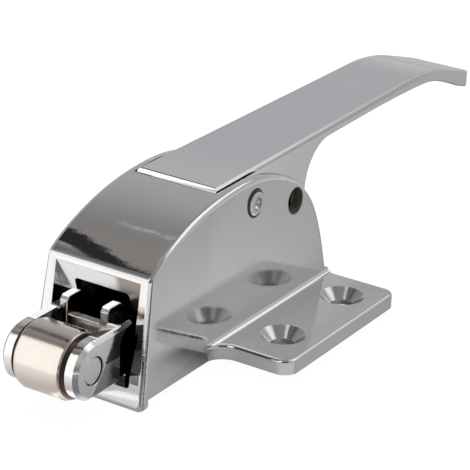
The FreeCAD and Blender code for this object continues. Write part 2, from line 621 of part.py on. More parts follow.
# ---------------------------------------------------------------- spring, rod and seat
ROD_END = 58.0
rod = cyl_x(0, SPRING_Z, 2.5, 45.3, TAIL_X + 0.5).fuse(cyl_x(0, SPRING_Z, 4.0, TAIL_X, ROD_END))
rod = rod.removeSplitter()
rod = chamfer(rod, 0.8, lambda e: within(e, x=(ROD_END, ROD_END)), "rod end")
save(rod, "spring_guide_rod")
seat = cyl_x(0, SPRING_Z, 7.0, SEAT_X - 1.5, SEAT_X + 1.0).cut(cyl_x(0, SPRING_Z, 6.25, SEAT_X - 2, SEAT_X))
save(seat, "spring_seat")

gap = 0.05
r_mid = SPRING_OR - SPRING_WIRE / 2
x0, x1 = TAIL_X + gap, SEAT_X - gap
wr = SPRING_WIRE / 2
turns = 6.0
length = x1 - x0 - SPRING_WIRE
helix = Part.makeHelix(length / turns, length, r_mid)
prof = Part.Wire(Part.makeCircle(wr, V(r_mid, 0, 0), V(0, 2 * math.pi * r_mid, length / turns)))
coil = Part.Wire(helix).makePipeShell([prof], True, True)
coil.rotate(V(0, 0, 0), V(0, 1, 0), 90)
coil.translate(V(x0 + wr, 0, SPRING_Z))
save(coil, "main_spring")

# ---------------------------------------------------------------- buffer
bf = box(67.1, 69.3, -3.5, 3.5, 20.4, 22.9)
save(bf, "lever_buffer")

print("travel %.3f mm, ratio %.5f m/rad" % (TRAVEL, TRAVEL / 1000 / math.radians(LIFT_DEG)))
print("drive pin", DRIVE)
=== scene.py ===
import json
import math
import random

import bmesh
import bpy
from mathutils import Matrix, Vector


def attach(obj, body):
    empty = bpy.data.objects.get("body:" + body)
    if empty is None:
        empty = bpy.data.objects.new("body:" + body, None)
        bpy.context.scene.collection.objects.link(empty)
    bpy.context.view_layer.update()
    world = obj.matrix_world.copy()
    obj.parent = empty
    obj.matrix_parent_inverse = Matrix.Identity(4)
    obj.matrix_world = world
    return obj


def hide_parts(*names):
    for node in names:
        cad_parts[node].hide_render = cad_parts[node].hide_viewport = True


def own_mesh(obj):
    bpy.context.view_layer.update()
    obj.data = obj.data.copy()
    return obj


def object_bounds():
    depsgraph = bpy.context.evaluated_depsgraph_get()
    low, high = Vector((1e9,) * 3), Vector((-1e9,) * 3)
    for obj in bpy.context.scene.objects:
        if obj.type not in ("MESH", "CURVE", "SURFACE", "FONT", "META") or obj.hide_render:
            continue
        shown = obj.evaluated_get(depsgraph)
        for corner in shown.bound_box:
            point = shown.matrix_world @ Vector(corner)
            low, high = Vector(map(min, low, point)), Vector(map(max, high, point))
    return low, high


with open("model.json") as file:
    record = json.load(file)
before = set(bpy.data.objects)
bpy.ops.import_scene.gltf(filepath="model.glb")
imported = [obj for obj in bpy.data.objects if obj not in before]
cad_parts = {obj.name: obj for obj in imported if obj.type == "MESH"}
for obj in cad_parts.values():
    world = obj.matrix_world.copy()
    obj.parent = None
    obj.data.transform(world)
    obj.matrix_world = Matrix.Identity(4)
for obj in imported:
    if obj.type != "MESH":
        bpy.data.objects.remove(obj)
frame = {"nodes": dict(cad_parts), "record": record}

BOX0 = [list(c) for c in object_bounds()]
scene = bpy.context.scene
nodes = frame["nodes"]
MM = 0.001
OX = 52.45                      # part origin, in mm behind the foot of the front face


# ---------------------------------------------------------------- node helpers
def new_material(name):
    m = bpy.data.materials.new(name)
    m.use_nodes = True
    m.node_tree.nodes.clear()
    return m


class Tree:
    """Small helper that adds nodes and links to one node tree."""

    def __init__(self, tree):
        self.t = tree

    def add(self, kind, **props):
        n = self.t.nodes.new(kind)
        for k, v in props.items():
            setattr(n, k, v)
        return n

    def link(self, a, b):
        self.t.links.new(a, b)

    def noise(self, vec, scale, detail=3.0, rough=0.5, distortion=0.0):
        n = self.add("ShaderNodeTexNoise")
        n.inputs["Scale"].default_value = scale
        n.inputs["Detail"].default_value = detail
        n.inputs["Roughness"].default_value = rough
        n.inputs["Distortion"].default_value = distortion
        self.link(vec, n.inputs["Vector"])
        return n.outputs["Fac"]

    def math(self, op, a, b=None, c=None, clamp=False):
        n = self.add("ShaderNodeMath", operation=op, use_clamp=clamp)
        for i, v in enumerate((a, b, c)):
            if v is None:
                continue
            if isinstance(v, (int, float)):
                n.inputs[i].default_value = v
            else:
                self.link(v, n.inputs[i])
        return n.outputs[0]

    def ramp(self, fac, stops, interp="LINEAR"):
        n = self.add("ShaderNodeValToRGB")
        r = n.color_ramp
        r.interpolation = interp
        while len(r.elements) < len(stops):
            r.elements.new(0.5)
        for e, (p, c) in zip(r.elements, stops):
            e.position = p
            e.color = (c[0], c[1], c[2], 1.0) if hasattr(c, "__len__") else (c, c, c, 1.0)
        self.link(fac, n.inputs["Fac"])
        return n.outputs["Color"]

    def remap(self, v, a, b, c, d, smooth=False):
        n = self.add("ShaderNodeMapRange", clamp=True)
        if smooth:
            n.interpolation_type = "SMOOTHSTEP"
        self.link(v, n.inputs["Value"])
        for k, x in zip(("From Min", "From Max", "To Min", "To Max"), (a, b, c, d)):
            n.inputs[k].default_value = x
        return n.outputs["Result"]

    def mix_value(self, fac, a, b):
        n = self.add("ShaderNodeMix", data_type="FLOAT")
        for sock, v in ((n.inputs[0], fac), (n.inputs[2], a), (n.inputs[3], b)):
            if isinstance(v, (int, float)):
                sock.default_value = v
            else:
                self.link(v, sock)
        return n.outputs[0]

    def mix_vector(self, fac, a, b):
        """Mixes two normals: b is a fixed direction or a socket."""
        n = self.add("ShaderNodeMix", data_type="VECTOR")
        self.link(fac, n.inputs[0])
        if a is None:
            a = self.add("ShaderNodeNewGeometry").outputs["Normal"]
        self.link(a, n.inputs[4])
        if isinstance(b, tuple):
            n.inputs[5].default_value = b
        else:
            self.link(b, n.inputs[5])
        u = self.add("ShaderNodeVectorMath", operation="NORMALIZE")
        self.link(n.outputs[1], u.inputs[0])
        return u.outputs[0]

    def axes(self, vec):
        n = self.add("ShaderNodeSeparateXYZ")
        self.link(vec, n.inputs[0])
        return n.outputs[0], n.outputs[1], n.outputs[2]

    def inside(self, v, low, high, soft):
        """1 between low and high, with soft edges."""
        return self.math("MULTIPLY", self.remap(v, low - soft, low + soft, 0.0, 1.0, True),
                         self.remap(v, high - soft, high + soft, 1.0, 0.0, True))

    def radius(self, vec, x, z):
        """Distance from an axis along Y through (x, z), in mm as drawn."""
        px, _, pz = self.axes(vec)
        a = self.math("SUBTRACT", px, (x - OX) * MM)
        b = self.math("SUBTRACT", pz, z * MM)
        return self.math("SQRT", self.math("ADD", self.math("MULTIPLY", a, a), self.math("MULTIPLY", b, b)))

    def mix(self, fac, a, b):
        n = self.add("ShaderNodeMix", data_type="RGBA")
        for sock, v in ((n.inputs[0], fac), (n.inputs[6], a), (n.inputs[7], b)):
            if isinstance(v, (int, float)):
                sock.default_value = v
            elif isinstance(v, (tuple, list)):
                sock.default_value = (v[0], v[1], v[2], 1.0)
            else:
                self.link(v, sock)
        return n.outputs[2]


def metal(name, tint, tint2, rough, rough_var, wave=0.0, wave_scale=60.0, grain=0.0, grain_scale=900.0,
          edge=0.10, stretch=(1, 1, 1), dust=0.05, pits=0.0, pit_scale=1400.0, zones=None):
    """Plated or machined metal: slight tone and gloss variation, waviness, fine grain and worn edges."""
    m = new_material(name)
    t = Tree(m.node_tree)
    out = t.add("ShaderNodeOutputMaterial")
    sh = t.add("ShaderNodeBsdfPrincipled")
    t.link(sh.outputs[0], out.inputs[0])
    sh.inputs["Metallic"].default_value = 1.0
    co = t.add("ShaderNodeTexCoord").outputs["Object"]
    mp = t.add("ShaderNodeMapping")
    mp.inputs["Scale"].default_value = stretch
    t.link(co, mp.inputs["Vector"])
    vec = mp.outputs["Vector"]
    big = t.noise(co, 45.0, 3.0, 0.55, 0.4)
    fine = t.noise(vec, grain_scale, 4.0, 0.6)
    smear = t.noise(vec, 160.0, 5.0, 0.62, 1.2)
    point = t.add("ShaderNodeNewGeometry").outputs["Pointiness"]
    worn = t.remap(point, 0.515, 0.56, 0.0, 1.0, True)
    tone = t.math("ADD", t.math("MULTIPLY", big, 0.7), t.math("MULTIPLY", smear, 0.3))
    col = t.mix(t.remap(tone, 0.35, 0.65, 0.0, 1.0), tint, tint2)
    col = t.mix(t.math("MULTIPLY", worn, edge), col, (0.86, 0.85, 0.84))
    t.link(col, sh.inputs["Base Color"])
    r = t.math("ADD", rough, t.math("MULTIPLY", t.remap(smear, 0.45, 0.72, 0.0, 1.0, True), rough_var))
    r = t.math("ADD", r, t.math("MULTIPLY", t.remap(fine, 0.55, 0.8, 0.0, 1.0), dust * 0.5))
    r = t.math("ADD", r, t.math("MULTIPLY", worn, 0.04), clamp=True)
    t.link(r, sh.inputs["Roughness"])
    normal = None
    if zones:
        # places with another finish or with painted light and shade: (mask, tint, roughness, optional shading normal)
        for where in zones:
            mask, tint_z, rough_z = where(t, co)[:3]
            col = t.mix(mask, col, tint_z)
            r = t.mix_value(mask, r, rough_z)
        t.link(col, sh.inputs["Base Color"])
        t.link(r, sh.inputs["Roughness"])
    if wave:
        b = t.add("ShaderNodeBump")
        b.inputs["Strength"].default_value = 1.0
        b.inputs["Distance"].default_value = wave
        t.link(t.noise(co, wave_scale, 2.0, 0.45), b.inputs["Height"])
        normal = b.outputs[0]
    if grain:
        b = t.add("ShaderNodeBump")
        b.inputs["Strength"].default_value = 0.6
        b.inputs["Distance"].default_value = grain
        t.link(fine, b.inputs["Height"])
        if normal is not None:
            t.link(normal, b.inputs["Normal"])
        normal = b.outputs[0]
    if pits:
        b = t.add("ShaderNodeBump")
        b.inputs["Strength"].default_value = 1.0
        b.inputs["Distance"].default_value = pits
        t.link(t.remap(t.noise(co, pit_scale, 2.0, 0.7), 0.40, 0.62, 0.0, 1.0, True), b.inputs["Height"])
        if normal is not None:
            t.link(normal, b.inputs["Normal"])
        normal = b.outputs[0]
    if zones:
        for where in zones:
            made = where(t, co)
            if len(made) > 3:
                normal = t.mix_vector(made[0], normal, made[3])
    if normal is not None:
        t.link(normal, sh.inputs["Normal"])
    return m


def plastic(name, tint, tint2, rough, bump, scale, spec=0.5):
    m = new_material(name)
    t = Tree(m.node_tree)
    out = t.add("ShaderNodeOutputMaterial")
    sh = t.add("ShaderNodeBsdfPrincipled")
    t.link(sh.outputs[0], out.inputs[0])
    sh.inputs["Specular IOR Level"].default_value = spec
    co = t.add("ShaderNodeTexCoord").outputs["Object"]
    n1 = t.noise(co, scale, 4.0, 0.6)
    n2 = t.noise(co, scale * 0.08, 3.0, 0.5)
    t.link(t.mix(t.remap(n2, 0.35, 0.65, 0.0, 1.0), tint, tint2), sh.inputs["Base Color"])
    t.link(t.math("ADD", rough, t.math("MULTIPLY", n1, 0.15)), sh.inputs["Roughness"])
    b = t.add("ShaderNodeBump")
    b.inputs["Strength"].default_value = 0.7
    b.inputs["Distance"].default_value = bump
    t.link(n1, b.inputs["Height"])
    t.link(b.outputs[0], sh.inputs["Normal"])
    return m


def cavity_shade(t, co):
    """Painted shade on the inside of the casting: dark and dull."""
    x, y, z = t.axes(co)
    n = t.add("ShaderNodeNewGeometry").outputs["Normal"]
    nx, ny, nz = t.axes(n)
    wide = t.remap(t.math("ABSOLUTE", y), 11.05 * MM, 11.15 * MM, 1.0, 0.0)
    deep = t.remap(x, (8.2 - OX) * MM, (9.2 - OX) * MM, 0.0, 1.0, True)
    top = t.math("MULTIPLY", t.math("GREATER_THAN", nz, 0.03), t.math("GREATER_THAN", z, 26.3 * MM))
    rear = t.math("MULTIPLY", t.math("GREATER_THAN", nx, 0.03), t.math("GREATER_THAN", x, (66.5 - OX) * MM))
    keep = t.math("MULTIPLY", t.math("SUBTRACT", 1.0, top), t.math("SUBTRACT", 1.0, rear))
    return t.math("MULTIPLY", t.math("MULTIPLY", wide, deep), keep), (0.075, 0.073, 0.066), 0.60


# painted shade: a darker, duller tint inside the lock bore
def lock_bore(t, co):
    return t.math("LESS_THAN", t.radius(co, 60.6, 25.6), 3.25 * MM), (0.34, 0.33, 0.28), 0.60


# painted shade: a dark ring in the gap round the pivot pin in its bore
def pivot_bore(t, co):
    x, y, z = t.axes(co)
    edge = t.math("MULTIPLY", t.math("LESS_THAN", t.radius(co, 43.9, 30.4), 3.42 * MM),
                  t.math("LESS_THAN", t.math("ABSOLUTE", y), 13.2 * MM))
    return edge, (0.05, 0.05, 0.045), 0.4


def web_face(t, co):
    """The sloping web behind the front edge: satin, slightly hollow in the casting."""
    x, y, z = t.axes(co)
    n = t.add("ShaderNodeNewGeometry").outputs["Normal"]
    nx, ny, nz = t.axes(n)
    m = t.math("MULTIPLY", t.inside(x, (4.15 - OX) * MM, (7.2 - OX) * MM, 0.05 * MM),
               t.inside(z, 17.45 * MM, 24.85 * MM, 0.05 * MM))
    m = t.math("MULTIPLY", m, t.math("LESS_THAN", t.math("ABSOLUTE", y), 10.9 * MM))
    m = t.math("MULTIPLY", m, t.math("LESS_THAN", nx, -0.8))
    return m, (0.60, 0.605, 0.615), 0.20, (-0.985, 0.03, 0.10)


def web_right(t, co):
    """Painted warm, darker reflection of the roller on the end of the web beside the near wall."""
    m = web_face(t, co)[0]
    x, y, z = t.axes(co)
    return t.math("MULTIPLY", m, t.remap(y, -5.6 * MM, -3.4 * MM, 1.0, 0.0, True)), (0.275, 0.250, 0.232), 0.20


def front_foot(t, co):
    """Shaded inner corner of the frame beside the sill."""
    x, y, z = t.axes(co)
    n = t.add("ShaderNodeNewGeometry").outputs["Normal"]
    nx, ny, nz = t.axes(n)
    m = t.math("MULTIPLY", t.inside(z, 3.3 * MM, 5.8 * MM, 0.05 * MM), t.inside(y, -13.2 * MM, -11.02 * MM, 0.05 * MM))
    return t.math("MULTIPLY", m, t.math("LESS_THAN", nx, -0.8)), (0.21, 0.21, 0.23), 0.06


def screw_seat(t, co):
    """Countersinks: cut after plating blank, a little less glossy than the faces."""
    x, y, z = t.axes(co)
    a = t.math("SUBTRACT", t.math("ABSOLUTE", x), 12.75 * MM)
    b = t.math("SUBTRACT", t.math("ABSOLUTE", y), 24.35 * MM)
    rad = t.math("SQRT", t.math("ADD", t.math("MULTIPLY", a, a), t.math("MULTIPLY", b, b)))
    m = t.math("MULTIPLY", t.math("LESS_THAN", rad, 5.05 * MM), t.math("LESS_THAN", z, 3.45 * MM))
    return m, (0.60, 0.60, 0.60), 0.13


def screw_bore(t, co):
    x, y, z = t.axes(co)
    a = t.math("SUBTRACT", t.math("ABSOLUTE", x), 12.75 * MM)
    b = t.math("SUBTRACT", t.math("ABSOLUTE", y), 24.35 * MM)
    rad = t.math("SQRT", t.math("ADD", t.math("MULTIPLY", a, a), t.math("MULTIPLY", b, b)))
    m = t.math("MULTIPLY", t.math("LESS_THAN", rad, 2.86 * MM), t.math("LESS_THAN", z, 3.0 * MM))
    return m, (0.60, 0.60, 0.59), 0.30


# painted shade: the flange's outer side faces in a darker tint
def flange_edge(t, co):
    x, y, z = t.axes(co)
    n = t.add("ShaderNodeNewGeometry").outputs["Normal"]
    nx, ny, nz = t.axes(n)
    m = t.math("MULTIPLY", t.math("GREATER_THAN", t.math("ABSOLUTE", y), 32.0 * MM), t.math("GREATER_THAN", t.math("ABSOLUTE", ny), 0.93))
    return m, (0.54, 0.54, 0.54), 0.06


def edge_line(t, co):
    """Painted dark reflection: a thin dark line where the polished front corner meets the near wall."""
    x, y, z = t.axes(co)
    n = t.add("ShaderNodeNewGeometry").outputs["Normal"]
    nx, ny, nz = t.axes(n)
    m = t.math("MULTIPLY", t.inside(ny, -0.87, -0.76, 0.02), t.math("LESS_THAN", nx, -0.35))
    m = t.math("MULTIPLY", m, t.math("LESS_THAN", x, (6.0 - OX) * MM))
    broken = t.remap(t.noise(co, 1500.0, 3.0, 0.6), 0.36, 0.52, 0.35, 1.0, True)
    return t.math("MULTIPLY", m, broken), (0.10, 0.10, 0.10), 0.10


CHROME = metal("plated_casting", (0.70, 0.70, 0.705), (0.665, 0.665, 0.67), 0.030, 0.05,
               wave=0.000035, wave_scale=55.0, edge=0.5, pits=0.0000022, pit_scale=1500.0,
               zones=(cavity_shade, lock_bore, pivot_bore, web_face, web_right, front_foot, edge_line, screw_seat, screw_bore, flange_edge))
def front_bevel(t, co):
    """Rounded nose of the lever above the cover: a lighter tint and a fixed shading normal, a painted highlight line.
    """
    x, y, z = t.axes(co)
    n = t.add("ShaderNodeNewGeometry").outputs["Normal"]
    nx, ny, nz = t.axes(n)
    low = t.math("SUBTRACT", z, t.remap(y, -9.8 * MM, 9.0 * MM, 36.24 * MM, 35.55 * MM))
    m = t.math("MULTIPLY", t.math("LESS_THAN", nx, -0.4), t.math("LESS_THAN", z, 36.50 * MM))
    m = t.math("MULTIPLY", m, t.remap(low, -0.03 * MM, 0.03 * MM, 0.0, 1.0, True))
    m = t.math("MULTIPLY", m, t.math("LESS_THAN", x, (36.0 - OX) * MM))
    return m, (0.80, 0.80, 0.80), 0.06, (-0.965, 0.0, 0.26)


def side_bevel(t, co):
    """Bevel along the near top edge of the handle, slightly rounded by a fixed shading normal, with a lighter tint as a
    painted highlight line.
    """
    x, y, z = t.axes(co)
    n = t.add("ShaderNodeNewGeometry").outputs["Normal"]
    nx, ny, nz = t.axes(n)
    m = t.math("MULTIPLY", t.inside(ny, -0.975, -0.50, 0.02), t.inside(nz, 0.18, 0.80, 0.03))
    m = t.math("MULTIPLY", m, t.math("GREATER_THAN", z, 30.0 * MM))
    return m, (0.86, 0.86, 0.86), 0.05, (0.0, -0.668, 0.744)


def side_root(t, co):
    """Near side of the lever, away from the cross hole: painted shade, darker towards the front, with a fixed shading
    normal.
    """
    x, y, z = t.axes(co)
    n = t.add("ShaderNodeNewGeometry").outputs["Normal"]
    nx, ny, nz = t.axes(n)
    m = t.math("MULTIPLY", t.math("LESS_THAN", ny, -0.95), t.math("GREATER_THAN", t.radius(co, 60.6, 25.6), 5.0 * MM))
    m = t.math("MULTIPLY", m, t.math("LESS_THAN", z, 35.55 * MM))
    tint = t.mix(t.remap(x, (57.0 - OX) * MM, (107.0 - OX) * MM, 0.0, 1.0, True), (0.575, 0.575, 0.58), (0.71, 0.71, 0.715))
    return m, tint, 0.09, (0.0, -0.66, 0.75)


CHROME_LEVER = metal("plated_lever", (0.69, 0.69, 0.705), (0.66, 0.657, 0.675), 0.040, 0.06,
                     wave=0.00002, wave_scale=40.0, edge=0.5, zones=(lock_bore, side_root, front_bevel, side_bevel))
def bolt_tops(t, co):
    """Rounded-over tops of the ears, cross bar and arms, with a lighter tint and a fixed shading normal as a painted
    highlight.
    """
    x, y, z = t.axes(co)
    n = t.add("ShaderNodeNewGeometry").outputs["Normal"]
    nx, ny, nz = t.axes(n)
    ears = t.math("GREATER_THAN", z, 19.2 * MM)
    arms = t.math("MULTIPLY", t.inside(z, 16.2 * MM, 16.8 * MM, 0.1 * MM), t.inside(x, (-8.5 - OX) * MM, (-0.6 - OX) * MM, 0.8 * MM))
    bar = t.math("MULTIPLY", t.inside(z, 15.2 * MM, 16.0 * MM, 0.1 * MM), t.math("LESS_THAN", t.math("ABSOLUTE", y), 4.4 * MM))
    m = t.math("MAXIMUM", t.math("MAXIMUM", ears, arms), bar)
    m = t.math("MULTIPLY", m, t.math("GREATER_THAN", nz, 0.55))
    return m, (0.80, 0.80, 0.80), 0.10, (-0.955, 0.06, 0.29)


def arm_dark_reflection(t, co):
    """Painted dark, speckled reflection on the rear of the outer arm face."""
    x, y, z = t.axes(co)
    n = t.add("ShaderNodeNewGeometry").outputs["Normal"]
    nx, ny, nz = t.axes(n)
    speck = t.noise(co, 1900.0, 3.0, 0.7)
    slope = t.math("SUBTRACT", t.math("SUBTRACT", x, (-3.6 - OX) * MM), t.math("MULTIPLY", t.math("SUBTRACT", z, 14.9 * MM), 0.60))
    slope = t.math("ADD", slope, t.math("MULTIPLY", t.math("SUBTRACT", speck, 0.5), 3.4 * MM))
    m = t.math("MULTIPLY", t.remap(slope, -0.15 * MM, 0.45 * MM, 0.0, 1.0, True), t.math("LESS_THAN", ny, -0.9))
    m = t.math("MULTIPLY", m, t.remap(z, 9.6 * MM, 10.0 * MM, 0.0, 1.0, True))
    return m, (0.055, 0.055, 0.055), 0.12


# painted shade: the lower rear of the outer arm face darker
def arm_low(t, co):
    x, y, z = t.axes(co)
    n = t.add("ShaderNodeNewGeometry").outputs["Normal"]
    nx, ny, nz = t.axes(n)
    slope = t.math("SUBTRACT", t.math("SUBTRACT", x, (-6.2 - OX) * MM), t.math("MULTIPLY", t.math("SUBTRACT", z, 9.8 * MM), 0.90))
    m = t.math("MULTIPLY", t.remap(slope, -0.3 * MM, 0.5 * MM, 0.0, 1.0, True), t.math("LESS_THAN", ny, -0.9))
    m = t.math("MULTIPLY", m, t.remap(z, 9.5 * MM, 9.9 * MM, 1.0, 0.0, True))
    return m, (0.30, 0.30, 0.305), 0.10


def front_plate(t, co):
    """Painted shade on the lower front of the carrier, deep in the opening."""
    x, y, z = t.axes(co)
    return t.math("MULTIPLY", t.math("LESS_THAN", z, 3.5 * MM), t.math("GREATER_THAN", x, (1.8 - OX) * MM)), (0.06, 0.06, 0.06), 0.3


# painted shade: the roller's end faces darker and duller
def roller_faces(t, co):
    x, y, z = t.axes(co)
    m = t.math("MULTIPLY", t.math("GREATER_THAN", t.math("ABSOLUTE", y), 5.2 * MM),
               t.math("LESS_THAN", t.radius(co, -10.05, 10.0), 7.02 * MM))
    return m, (0.42, 0.37, 0.34), 0.4


def roller_rim(t, co):
    """Turned chamfer and rim at both ends of the roller: pinkish, less polished."""
    x, y, z = t.axes(co)
    m = t.math("MULTIPLY", t.math("GREATER_THAN", t.math("ABSOLUTE", y), 4.72 * MM),
               t.math("GREATER_THAN", t.radius(co, -10.05, 10.0), 7.02 * MM))
    return m, (0.64, 0.53, 0.49), 0.20


def roller_round(t, co):
    """Soft rounding between the roller's cylinder and its rim: shaded as the cylinder."""
    x, y, z = t.axes(co)
    m = t.math("MULTIPLY", t.inside(t.math("ABSOLUTE", y), 4.60 * MM, 5.42 * MM, 0.05 * MM),
               t.math("GREATER_THAN", t.radius(co, -10.05, 10.0), 7.0 * MM))
    c = t.add("ShaderNodeCombineXYZ")
    t.link(t.math("SUBTRACT", x, (-10.05 - OX) * MM), c.inputs[0])
    t.link(t.math("SUBTRACT", z, 10.0 * MM), c.inputs[2])
    w = t.add("ShaderNodeVectorTransform", vector_type="NORMAL", convert_from="OBJECT", convert_to="WORLD")
    t.link(c.outputs[0], w.inputs[0])
    return m, (0.765, 0.69, 0.63), 0.16, w.outputs[0]


def dome_edge(t, co):
    """Painted shade: a dark ring in the fold round the riveted end of the pivot pin."""
    rad = t.radius(co, 43.9, 30.4)
    ring = t.remap(rad, 2.58 * MM, 2.78 * MM, 0.0, 1.0, True)
    return ring, (0.07, 0.07, 0.065), 0.42


# painted shade: a dark ring at the edge of the dimple in the pivot pin's end
def dimple_edge(t, co):
    rad = t.radius(co, 43.9, 30.4)
    return t.math("MULTIPLY", t.inside(rad, 1.22 * MM, 1.50 * MM, 0.06 * MM), 0.75), (0.16, 0.16, 0.15), 0.35


def pin_edge(t, co):
    """Painted shade: a dark gap line round the end of the roller pin."""
    rad = t.radius(co, -10.05, 10.0)
    return t.remap(rad, 2.72 * MM, 2.98 * MM, 0.0, 1.0, True), (0.05, 0.05, 0.05), 0.4


CHROME_HEAD = metal("plated_bolt", (0.73, 0.73, 0.735), (0.67, 0.67, 0.675), 0.045, 0.07,
                    wave=0.00005, wave_scale=170.0, edge=0.6, pits=0.000006, pit_scale=1700.0,
                    zones=(bolt_tops, arm_dark_reflection, arm_low, front_plate))
ROLLER = metal("roller_nickel", (0.785, 0.715, 0.66), (0.735, 0.66, 0.60), 0.16, 0.08,
               grain=0.000008, grain_scale=700.0, stretch=(1.0, 14.0, 1.0), edge=0.3, dust=0.1,
               zones=(roller_rim, roller_faces, roller_round))
PIN = metal("ground_pin", (0.60, 0.60, 0.605), (0.52, 0.52, 0.53), 0.26, 0.12, grain=0.00001, grain_scale=1500.0,
            edge=0.3, dust=0.15)
ROLLER_PIN = metal("roller_pin_end", (0.80, 0.805, 0.80), (0.68, 0.69, 0.685), 0.20, 0.14, grain=0.000012,
                   grain_scale=1100.0, wave=0.00004, wave_scale=260.0, edge=0.5, dust=0.15, zones=(pin_edge,))
PIN_DARK = metal("pivot_steel", (0.70, 0.715, 0.70), (0.56, 0.58, 0.57), 0.18, 0.14, grain=0.00002,
                 grain_scale=1200.0, wave=0.00004, wave_scale=300.0, edge=0.5, dust=0.15, zones=(dome_edge, dimple_edge))
ZINC = metal("zinc_sheet", (0.60, 0.61, 0.63), (0.50, 0.51, 0.53), 0.30, 0.16, wave=0.00001, wave_scale=300.0,
             grain=0.000006, edge=0.3, dust=0.2)
SPRING = metal("spring_wire", (0.36, 0.35, 0.34), (0.27, 0.26, 0.26), 0.28, 0.14, grain=0.00001,
               grain_scale=1600.0, edge=0.3, dust=0.2)
BRONZE = metal("sintered_bronze", (0.50, 0.36, 0.22), (0.40, 0.28, 0.17), 0.42, 0.12, grain=0.00003,
               grain_scale=2500.0, edge=0.4, dust=0.2)
BLACK = plastic("dark_bushing", (0.030, 0.030, 0.032), (0.045, 0.043, 0.041), 0.42, 0.00002, 1800.0)
RUBBER = plastic("rubber_pad", (0.028, 0.027, 0.027), (0.040, 0.039, 0.038), 0.62, 0.00004, 1400.0, 0.35)

BY_SLOT = {
    "chrome": CHROME, "chrome_lever": CHROME_LEVER, "chrome_carrier": CHROME_HEAD, "roller_metal": ROLLER,
    "roller_pin_steel": ROLLER_PIN, "pin_steel": PIN_DARK, "washer_steel": PIN, "screw_steel": ZINC, "plate_steel": ZINC,
    "spring_steel": SPRING, "rod_steel": PIN, "bronze": BRONZE, "seat_plastic": BLACK, "dark_bush": BLACK,
    "buffer_rubber": RUBBER,
}
slot_of = {s["node"]: s["material_slot"] for s in frame["record"]["subparts"]}
for name, ob in nodes.items():
    ob.data.materials.clear()
    ob.data.materials.append(BY_SLOT[slot_of[name]])
    for p in ob.data.polygons:
        p.material_index = 0

# the spring shortens as the carrier slides back; here a copy of its mesh, fixed to the housing, stands for it and the
# original is hidden
coil = bpy.data.objects.new("main_spring_coil", nodes["main_spring"].data.copy())
bpy.context.scene.collection.objects.link(coil)
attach(coil, "housing")
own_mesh(coil)
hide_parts("main_spring")

# ---------------------------------------------------------------- stage
bpy.ops.mesh.primitive_plane_add(size=1, location=(0, 0, 0))
floor = bpy.context.object
floor.name = "floor"
floor.scale = (8, 8, 1)
FLOOR_Z = BOX0[0][2] - 0.0002
floor.location = (0.0, 0.0, FLOOR_Z)
fm = new_material("pale_floor")
t = Tree(fm.node_tree)
out = t.add("ShaderNodeOutputMaterial")
path = t.add("ShaderNodeLightPath")
lit = t.add("ShaderNodeBsdfDiffuse")
lit.inputs["Color"].default_value = (0.9, 0.9, 0.9, 1)
plain = t.add("ShaderNodeEmission")
plain.inputs["Color"].default_value = (1, 1, 1, 1)
plain.inputs["Strength"].default_value = 1.04
seen = t.add("ShaderNodeMixShader")
seen.inputs[0].default_value = 0.93
t.link(lit.outputs[0], seen.inputs[1])
t.link(plain.outputs[0], seen.inputs[2])
# painted reflections, seen only by glossy rays from the floor: a grey card on the right, a bright sheet at the back
# left, bluish grey towards the camera and a dark edge beyond it
pos = t.add("ShaderNodeNewGeometry").outputs["Position"]


def across(vec, off=0.0):
    d = t.add("ShaderNodeVectorMath", operation="DOT_PRODUCT")
    t.link(pos, d.inputs[0])
    d.inputs[1].default_value = vec
    return t.math("ADD", d.outputs["Value"], off)


gl = t.add("ShaderNodeEmission")
front = across((-0.863, 0.489, 0.0))
along = across((1.0, 0.0, 0.0))
over = across((0.0, 1.0, 0.0))
strip = t.math("MULTIPLY", t.inside(front, 0.0540, 0.0602, 0.0010), t.remap(over, 0.0014, 0.0026, 1.0, 0.0, True))
bright = t.remap(front, 0.112, 0.122, 0.0, 1.0, True)
ahead = t.remap(across((0.2, 1.0, 0.0), 0.025), -0.004, 0.004, 0.0, 1.0, True)
near_cam = t.remap(across((-1.0, 0.0, 0.0)), 0.052, 0.062, 0.0, 1.0, True)
out2 = across((-0.87, -0.49, 0.0))
left2 = t.remap(across((-0.62, 1.0, 0.0), -0.01706), -0.0015, 0.0015, 0.0, 1.0, True)
deep = t.mix(t.inside(out2, 0.1145, 0.1510, 0.0015), (0.22, 0.22, 0.25), (0.03, 0.03, 0.03))
deep = t.mix(t.remap(out2, 0.150, 0.156, 0.0, 1.0, True), deep, (0.95, 0.95, 0.95))
edge2 = t.ramp(t.remap(out2, 0.060, 0.260, 0.0, 1.0), [(0.0, 0.55), (0.13, 0.50), (0.15, 0.31), (0.58, 0.31), (0.64, 0.60), (0.72, 0.88), (1.0, 0.90)])
blue = t.mix(left2, edge2, deep)
lead = t.ramp(t.remap(front, 0.030, 0.110, 0.0, 1.0),
              [(0.0, 0.56), (0.10, 0.60), (0.16, 0.82), (0.31, 0.82), (0.36, (0.60, 0.57, 0.55)), (0.42, (0.62, 0.585, 0.56)),
               (0.59, (0.86, 0.83, 0.80)), (0.75, 0.95), (1.0, 1.0)])
lead = t.mix(strip, lead, (1.22, 1.22, 1.22))
blue = t.mix(ahead, blue, lead)
grey = t.math("ADD", t.remap(along, -0.010, 0.080, -0.03, 0.11, True), t.remap(over, -0.035, -0.015, 0.0, 0.16, True))
grey = t.math("SUBTRACT", grey, t.remap(along, 0.15, 0.25, 0.0, 0.24, True))
lift = t.math("SUBTRACT", 0.565, grey)
pale = t.add("ShaderNodeCombineColor")
for i in range(3):
    t.link(lift, pale.inputs[i])
